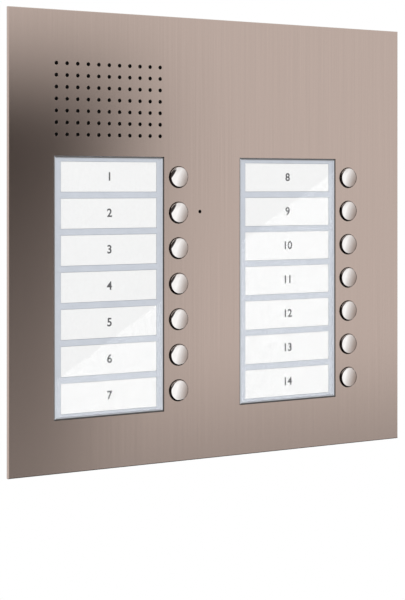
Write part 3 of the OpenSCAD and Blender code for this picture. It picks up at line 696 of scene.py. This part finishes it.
def make_panes():
    """The clear covers, with a hair of air before the trays and a matt rim over their walls.
    Light passes them without a shadow."""
    panes = []
    for side in COLUMNS:
        node = f"window_pane_{side}"
        solid = frame["nodes"][node].data
        shape = bmesh.new()
        corners = [shape.verts.new(corner.co) for corner in solid.vertices]
        for face in solid.polygons:
            shape.faces.new([corners[k] for k in face.vertices])
        bmesh.ops.remove_doubles(shape, verts=shape.verts, dist=WELD_DISTANCE)
        bmesh.ops.dissolve_limit(shape, angle_limit=WELD_ANGLE, verts=shape.verts, edges=shape.edges)
        front = min(shape.faces, key=face_y)
        inner = min((f for f in shape.faces if f.normal.y > STRAIGHT), key=face_y)
        for corner in inner.verts:
            corner.co.y -= PANE_AIR
        bevels = [f for f in shape.faces if SIDEWAYS < -f.normal.y < STRAIGHT]
        centre_x = face_x(front)
        shade_line = bmesh.ops.inset_region(shape, faces=[front], thickness=PANE_SHADE_LINE)["faces"]
        bmesh.ops.inset_region(shape, faces=[front], thickness=PANE_RIM)
        for corner in front.verts:
            if corner.co.x > centre_x:
                corner.co.x -= PANE_RIM_RIGHT
        shade_line.remove(min(shade_line, key=face_x))
        # Bevels and the outer line get the painted shade
        looks = {front: CLEAR, inner: CLEAR, **dict.fromkeys(bevels + shade_line, EDGE)}
        choice = [looks.get(face, RIM) for face in shape.faces]
        mesh = mesh_from(node, shape)
        pane = new_piece(f"clear_cover_{side}", mesh, MATERIALS["clear_pane"])
        pane.data.materials.append(PANE_RIM_MATT)
        pane.data.materials.append(PANE_EDGE_PAINTED_SHADE)
        pane.data.polygons.foreach_set("material_index", choice)
        pane.visible_shadow = False
        pane.visible_diffuse = False
        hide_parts(node)
        panes.append(pane)
    return panes


def make_springs():
    for i in range(1, BELLS + 1):
        node = f"return_spring_{i:02d}"
        low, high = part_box(node)
        centre = middle(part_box(f"button_cap_{i:02d}"))
        name = f"spring_coil_{i:02d}"
        mesh = spring_mesh(name, centre, low.y, high.y)
        coil = new_piece(name, mesh, MATERIALS["spring_wire"])
        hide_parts(node)
        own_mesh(coil)


def add_stud(shape, low, high, pitch):
    """A welded stud: plain foot, then a thread that runs out at a blunt end."""
    centre = (low + high) / 2
    foot_r = (high.x - low.x) / 2
    crest_r = foot_r - STUD_FOOT_W
    depth = THREAD_DEPTH_SHARE * pitch
    start_y = low.y + STUD_FOOT_T

    def at(y):
        return Vector((centre.x, y, centre.z))

    def thread_r(y):
        def radius(angle):
            turn = ((y - start_y) / pitch - angle / (2 * math.pi)) % 1
            slope = min(max(THREAD_STEEPNESS * abs(2 * turn - 1) - THREAD_CREST, 0), 1)
            return crest_r - depth * slope
        return radius

    loops = [round_loop(at(low.y), foot_r, STUD_SIDES), round_loop(at(start_y), foot_r, STUD_SIDES)]
    thread_length = high.y - pitch - start_y
    steps = round(thread_length / pitch * THREAD_STEPS)
    for k in range(steps + 1):
        y = start_y + thread_length * k / steps
        loops.append(round_loop(at(y), thread_r(y), STUD_SIDES))
    loops.append(round_loop(at(high.y), crest_r - depth, STUD_SIDES))
    skin(shape, loops)


def make_studs():
    for node, pitch in (("wall_studs", WALL_STUD_PITCH), ("module_studs", MODULE_STUD_PITCH)):
        shape = bmesh.new()
        for low, high in solids(node):
            add_stud(shape, low, high, pitch)
        studs = new_piece(f"threaded_{node}", mesh_from(node, shape), MATERIALS["zinc_steel"])
        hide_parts(node)


def number_mesh(number, place):
    """Flat digits that face -Y, centred on a place."""
    curve = bpy.data.curves.new(f"digits_{number:02d}", "FONT")
    curve.body = str(number)
    curve.size = NUMBER_HEIGHT
    curve.align_x = "CENTER"
    curve.align_y = "CENTER"
    curve.offset = NUMBER_BOLD
    curve.extrude = NUMBER_INK / 2
    text = bpy.data.objects.new(curve.name, curve)
    bpy.context.scene.collection.objects.link(text)
    bpy.context.view_layer.update()
    shown = text.evaluated_get(bpy.context.evaluated_depsgraph_get())
    mesh = bpy.data.meshes.new_from_object(shown)
    bpy.data.objects.remove(text)
    bpy.data.curves.remove(curve)
    mesh.transform(Matrix.Translation(place) @ Matrix.Rotation(math.pi / 2, 4, "X"))
    return mesh


def make_numbers():
    ink = number_ink()
    for i, (low, high) in enumerate(solids("name_cards"), 1):
        place = Vector(((low.x + high.x) / 2, low.y - NUMBER_INK / 2, (low.z + high.z) / 2))
        new_piece(f"card_number_{i:02d}", number_mesh(i, place), ink)


class Board:
    """What is soldered to the rear of one circuit board, gathered by material."""

    def __init__(self, node):
        self.node = node
        self.face_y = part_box(node)[1].y
        self.tracks = bmesh.new()
        self.tin = bmesh.new()
        self.dark = bmesh.new()

    def on(self, x, z):
        return Vector((x, self.face_y, z))

    def track(self, points, width=TRACK_W):
        """A raised copper track through points (x, z), with each corner cut off."""
        ends = [Vector(p) for p in points]
        route = [ends[0]]
        for before, corner, after in zip(ends, ends[1:], ends[2:]):
            cut = min(CORNER_CUT, (corner - before).length / 2, (after - corner).length / 2)
            route.append(corner + (before - corner).normalized() * cut)
            route.append(corner + (after - corner).normalized() * cut)
        route.append(ends[-1])
        loops = []
        for k, point in enumerate(route):
            into = (point - route[k - 1]).normalized() if k else Vector((0, 0))
            out = (route[k + 1] - point).normalized() if k + 1 < len(route) else Vector((0, 0))
            along = (into + out).normalized()
            half = Vector((-along.y, along.x)) * width / 2
            left = self.on(*(point - half))
            right = self.on(*(point + half))
            rise = Vector((0, TRACK_T, 0))
            loops.append([left - rise, right - rise, right + rise, left + rise])
        skin(self.tracks, loops)

    def joint(self, x, z):
        """A solder joint round a cut wire end."""
        profile = []
        for k in range(JOINT_STEPS + 1):
            up = k / JOINT_STEPS
            profile.append((JOINT_PIN_R + (JOINT_FOOT_R - JOINT_PIN_R) * (1 - up) ** 2, JOINT_CONE_H * up))
        profile.append((JOINT_PIN_R, JOINT_H))
        loops = [round_loop(self.on(x, z) + Vector((0, rise, 0)), r, JOINT_SIDES) for r, rise in profile]
        skin(self.tin, loops)

    def two_pole(self, x, z, size):
        """A small part lying along X: dark body between two tinned ends."""
        end_w = TINNED_SHARE * size.x
        raised = self.on(x, z) + Vector((0, size.y / 2, 0))
        block(self.dark, raised, (size.x - 2 * end_w, size.y, size.z), PART_CHAMFER)
        for side in (-1, 1):
            end = raised + Vector((side * (size.x - end_w) / 2, 0, 0))
            block(self.tin, end, (end_w, TINNED_GROWTH * size.y, TINNED_GROWTH * size.z), PART_CHAMFER)

    def legs(self, low, high, out):
        """A row of bent legs along one side of a chip that lies on the board."""
        along = Vector((abs(out.z), 0, abs(out.x)))
        length = along.dot(high - low)
        count = int((length - LEG_PITCH / 2) / LEG_PITCH)
        side = (low + high) / 2 + out * abs(out.dot(high - low)) / 2
        waist = (high.y - low.y) / 2
        knee_in, knee_out, ankle_in, ankle_out = (share * LEG_REACH for share in LEG_BENDS)
        bent = (
            (0, waist), (knee_out, waist), (ankle_out, LEG_T), (LEG_REACH, LEG_T),
            (LEG_REACH, 0), (ankle_in, 0), (knee_in, waist - LEG_T), (0, waist - LEG_T),
        )
        for k in range(count):
            foot = self.on(side.x, side.z) + along * (k - (count - 1) / 2) * LEG_PITCH
            loops = [
                [foot + out * reach + Vector((0, rise, 0)) + along * edge for reach, rise in bent]
                for edge in (-LEG_W / 2, LEG_W / 2)
            ]
            skin(self.tin, loops)

    def finish(self):
        name = self.node
        new_piece(f"{name}_tracks", mesh_from(name, self.tracks), TRACK_GREEN)
        new_piece(f"{name}_solder", mesh_from(name, self.tin), TIN)
        new_piece(f"{name}_parts", mesh_from(name, self.dark), MATERIALS["chip_plastic"])


def dress_key_board(side, bridge):
    """Lamp joints, resistors and diodes of one column, with tracks to the bridge at the board's top."""
    board = Board(f"key_board_{COLUMNS[side]}")
    low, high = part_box(board.node)
    lamps = [middle(box) for box in solids("label_lamps") if low.x < box[0].x < high.x]
    bells = [middle(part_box(f"button_cap_{side * ROWS + row + 1:02d}")) for row in range(ROWS)]
    for lamp in lamps:
        left_pin, right_pin = lamp.x - LAMP_PIN_SPREAD / 2, lamp.x + LAMP_PIN_SPREAD / 2
        resistor_x = lamp.x + RESISTOR_OFFSET
        board.joint(left_pin, lamp.z)
        board.joint(right_pin, lamp.z)
        board.two_pole(resistor_x, lamp.z, RESISTOR)
        board.track([(left_pin, lamp.z), (lamp.x + RAIL_OFFSETS[0], lamp.z)])
        board.track([(right_pin, lamp.z), (resistor_x - RESISTOR.x / 2, lamp.z)])
        board.track([(resistor_x + RESISTOR.x / 2, lamp.z), (lamp.x + RAIL_OFFSETS[1], lamp.z)])
    top_z, bottom_z = bells[0].z, bells[-1].z
    for lamp_x in sorted({round(lamp.x, 6) for lamp in lamps}):
        for offset in RAIL_OFFSETS:
            board.track([(lamp_x + offset, bottom_z), (lamp_x + offset, top_z)], RAIL_W)
    bridge_low, bridge_high = bridge
    goes_left = bridge_high.x < bells[0].x
    for row, bell in enumerate(bells):
        diode_x = bell.x + DIODE_OFFSET
        lane_x = bell.x + LANE_OFFSET + row * LANE_PITCH
        pin_x = bridge_low.x + LANE_OFFSET + row * LANE_PITCH
        rank = row if goes_left else ROWS - 1 - row
        level_z = bridge_low.z - (ROWS - rank) * LANE_LEVEL_PITCH
        board.two_pole(diode_x, bell.z, DIODE)
        board.track([(diode_x + DIODE.x / 2, bell.z), (lane_x, bell.z), (lane_x, level_z), (pin_x, level_z),
                     (pin_x, bridge_low.z + LANE_PITCH)])
    board.finish()


def dress_main_board(bridges):
    """Legs of the chips, a crystal, rows of small parts, and tracks from terminal and bridges."""
    board = Board("main_board")
    chips = solids("signal_chips")
    up_and_down = (Vector((0, 0, 1)), Vector((0, 0, -1)))
    all_ways = (*up_and_down, Vector((1, 0, 0)), Vector((-1, 0, 0)))
    for low, high in chips:
        is_square = abs((high.x - low.x) - (high.z - low.z)) < MM
        for way in all_ways if is_square else up_and_down:
            board.legs(low, high, way)
    first, second = chips[0], chips[1]
    crystal_x = (first[1].x + second[0].x) / 2
    crystal_place = board.on(crystal_x, middle(first).z) + Vector((0, CRYSTAL.y / 2, 0))
    block(board.tin, crystal_place, CRYSTAL, CRYSTAL_CHAMFER)
    chip_low_z = min(low.z for low, high in chips)
    chip_high_z = max(high.z for low, high in chips)
    for k in range(RESISTOR_ROW):
        x = first[0].x + RESISTOR_ROW_START + k * RESISTOR_ROW_PITCH
        board.two_pole(x, chip_low_z - RESISTOR_ROW_DROP, RESISTOR)
    for k in range(DIODE_ROW):
        x = first[0].x + DIODE_ROW_START + k * DIODE_ROW_PITCH
        board.two_pole(x, chip_high_z + DIODE_ROW_RISE, DIODE)
    screws = [middle(box) for box in solids("terminal_screws")]
    block_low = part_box("terminal_block")[0]
    targets = [middle(second).x, middle(chips[2]).x]
    poles = len(screws) // len(targets)
    for k, screw in enumerate(screws):
        group, pole = divmod(k, poles)
        end_x = targets[group] + (pole - poles // 2) * LEG_PITCH
        level_z = block_low.z - TERMINAL_TRACK_DROP - k % TERMINAL_TRACK_LEVELS * TERMINAL_TRACK_STEP
        board.track([(screw.x, block_low.z), (screw.x, level_z), (end_x, level_z),
                     (end_x, chip_high_z - TRACK_UNDER_CHIP)])
    for chip, bridge in zip((first, second), bridges):
        for k in range(ROWS):
            start_x = middle(chip).x + (k - ROWS // 2) * LEG_PITCH
            pin_x = middle(bridge).x + (k - ROWS // 2) * LANE_PITCH
            rank = k if pin_x < start_x else ROWS - 1 - k
            level_z = bridge[1].z + (BRIDGE_FIRST_LEVEL + rank) * LANE_LEVEL_PITCH
            board.track([(start_x, chip[0].z - LEG_REACH / 2), (start_x, level_z), (pin_x, level_z),
                         (pin_x, bridge[1].z - BRIDGE_LAP)])
    board.finish()


def dress_boards():
    bridges = solids("board_bridges")
    for side in range(len(COLUMNS)):
        dress_key_board(side, bridges[side])
    dress_main_board(bridges)


def make_camera():
    camera = bpy.data.cameras.new("camera")
    camera.sensor_fit = "AUTO"
    camera.sensor_width = SENSOR_MM
    camera.lens = FOCAL_PX * SENSOR_MM / IMAGE_H
    camera.shift_y = -(IMAGE_H / 2 - HORIZON_PX) / IMAGE_H
    camera.clip_start, camera.clip_end = CAMERA_CLIP
    holder = bpy.data.objects.new("camera", camera)
    holder.location = CAMERA_PLACE
    holder.rotation_euler = (math.pi / 2, 0, -CAMERA_YAW)
    bpy.context.scene.collection.objects.link(holder)
    bpy.context.scene.camera = holder


def make_world():
    """White surround, for the eye and in reflections. Matt surfaces get a share of it beside the lamp."""
    world = bpy.data.worlds.new("studio")
    bpy.context.scene.world = world
    world.use_nodes = True
    n = Nodes(world.node_tree)
    back = n.tree.nodes["Background"]
    back.inputs["Color"].default_value = (1, 1, 1, 1)
    n.tree.links.new(n.scaled(n.looking(), 0, 1, MATT_LIGHT, 1), back.inputs["Strength"])


def stage_piece(name, shape, material, seen_by_camera):
    mesh = mesh_from(name, shape)
    mesh.materials.append(material)
    piece = bpy.data.objects.new(name, mesh)
    bpy.context.scene.collection.objects.link(piece)
    if not seen_by_camera:
        piece.visible_camera = False
        piece.visible_shadow = False
        piece.visible_diffuse = False
        piece.visible_transmission = False


def disc(radius, z):
    shape = bmesh.new()
    place = Matrix.Translation((0, 0, z))
    bmesh.ops.create_circle(shape, cap_ends=True, segments=FLOOR_SIDES, radius=radius, matrix=place)
    return shape


def make_floor():
    """Plain pale floor below the hanging panel. It shows almost white, with a faint shadow."""
    s = Surface("pale_floor", Roughness=0.9, Base_Color=(0.9, 0.9, 0.9, 1))
    glow = s.new("Emission", {"Color": (1, 1, 1, 1), "Strength": 1.0})
    s.show(s.mixed(s.product(s.looking(), FLOOR_GLOW), s.shader, glow))
    stage_piece("floor", disc(FLOOR_RADIUS, FLOOR_Z), s.material, True)


def make_dark_room():
    """What a mirror shows of the studio besides white: a dark room on the left behind the camera,
    a warm wall on the right and a dark cloth on the floor."""
    s = Surface("room_walls", Roughness=1.0, Base_Color=DARK_CLOTH)
    mirrored = s.paths()["Is Singular Ray"]
    way = s.new("VectorMath", {0: s.place()}, operation="NORMALIZE").outputs["Vector"]
    across, along, up = s.split(way)
    dark = s.fade(s.towards(way, ROOM_DARK_SIDE), ROOM_DARK_EDGE, 0, 1)
    open_top = s.product(s.fade(up, ROOM_OPEN_TOP, 0, 1), s.fade(across, ROOM_OPEN_SIDE, 0, 1))
    behind = s.product(s.fade(along, ROOM_BACK_EDGE, 0, 1), s.fade(up, ROOM_BACK_TOP, 1, 0))
    far_left = s.fade(across, ROOM_FAR_LEFT, 0, 1)
    shade = s.most(s.product(dark, far_left, s.maths("SUBTRACT", 1.0, open_top)), behind)
    warm = s.scaled(s.towards(way, ROOM_WARM_SIDE), *ROOM_WARM_EDGE, 0, 1)
    ceiling = s.fade(up, ROOM_CEILING_EDGE, 0, ROOM_CEILING_COVER)
    clear = s.new("BsdfTransparent")
    wall = s.new("BsdfDiffuse", {"Color": WARM_CLOTH})
    right = s.mixed(s.product(s.most(warm, ceiling), mirrored), clear, wall)
    s.show(s.mixed(s.product(shade, mirrored), right, s.shader))
    shape = bmesh.new()
    bmesh.ops.create_icosphere(shape, subdivisions=ROOM_SUBDIVISIONS, radius=ROOM_RADIUS)
    stage_piece("room", shape, s.material, False)

    c = Surface("floor_cloth", Roughness=1.0, Base_Color=DARK_CLOTH)
    c.show(c.mixed(c.paths()["Is Glossy Ray"], c.new("BsdfTransparent"), c.shader))
    stage_piece("floor_cloth", disc(CLOTH_RADIUS, FLOOR_Z + CLOTH_LIFT), c.material, False)


def make_plate_flag():
    """Dark cloth in front of the panel, on its right, with soft edges. Only blurred reflections show it."""
    s = Surface("flag_cloth", Roughness=1.0, Base_Color=DARK_CLOTH)
    where = s.split(s.place())
    slanted = s.maths("SUBTRACT", where["X"], s.product(where["Z"], FLAG_SLANT))
    left = s.fade(where["X"], FLAG_FADE_LEFT, 0, 1)
    right = s.fade(slanted, FLAG_FADE_RIGHT, 1, 0)
    top = s.fade(where["Z"], FLAG_FADE_TOP, 1, 0)
    low = s.scaled(where["Z"], *FLAG_FADE_LOW, FLAG_LOW_COVER, 1)
    foot = s.product(left, s.fade(where["Z"], FLAG_FOOT, FLAG_FOOT_COVER, 0))
    path = s.paths()
    blurred = s.most(s.maths("SUBTRACT", path["Is Glossy Ray"], path["Is Singular Ray"]), 0.0)
    cover = s.product(s.most(s.product(left, right, top, low), foot), blurred)
    s.show(s.mixed(cover, s.new("BsdfTransparent"), s.shader))
    shape = bmesh.new()
    corners = [(x, FLAG_Y, z) for x in FLAG_SPAN_X for z in FLAG_SPAN_Z]
    shape.faces.new([shape.verts.new(corners[k]) for k in (0, 2, 3, 1)])
    stage_piece("plate_flag", shape, s.material, False)


def make_lamp(name, size, power):
    light = bpy.data.lights.new(name, "AREA")
    light.shape = "RECTANGLE"
    light.size, light.size_y = size
    light.energy = power
    lamp = bpy.data.objects.new(name, light)
    lamp.visible_camera = False
    bpy.context.scene.collection.objects.link(lamp)
    return lamp


def make_lamps(panes):
    """A soft key light from the upper right, and a slanted light that only the panes mirror."""
    key = make_lamp("key_softbox", KEY_SIZE, KEY_POWER)
    key.location = KEY_PLACE
    key.rotation_euler = (-key.location).to_track_quat("-Z", "Y").to_euler()
    key.visible_glossy = False

    glow = make_lamp("pane_glow", PANE_GLOW_SIZE, PANE_GLOW_POWER)
    start, end = Vector(PANE_GLOW_FROM), Vector(PANE_GLOW_TO)
    along = (end - start).normalized()
    centre = (start + end) / 2 + Vector((along.y, -along.x)) * PANE_GLOW_SIZE[1] / 2
    axes = Matrix(((along.x, -along.y, 0), (0, 0, -1), (along.y, along.x, 0)))
    glow.matrix_world = Matrix.Translation((centre.x, FLAG_Y, centre.y)) @ axes.to_4x4()
    glow.visible_diffuse = False
    lit = bpy.data.collections.new("panes")
    for pane in panes:
        lit.objects.link(pane)
    glow.light_linking.receiver_collection = lit


dress_nodes()
clear_covers = make_panes()
make_springs()
make_studs()
make_numbers()
dress_boards()
make_camera()
make_world()
make_floor()
make_dark_room()
make_plate_flag()
make_lamps(clear_covers)

bpy.context.scene.view_settings.view_transform = "Standard"
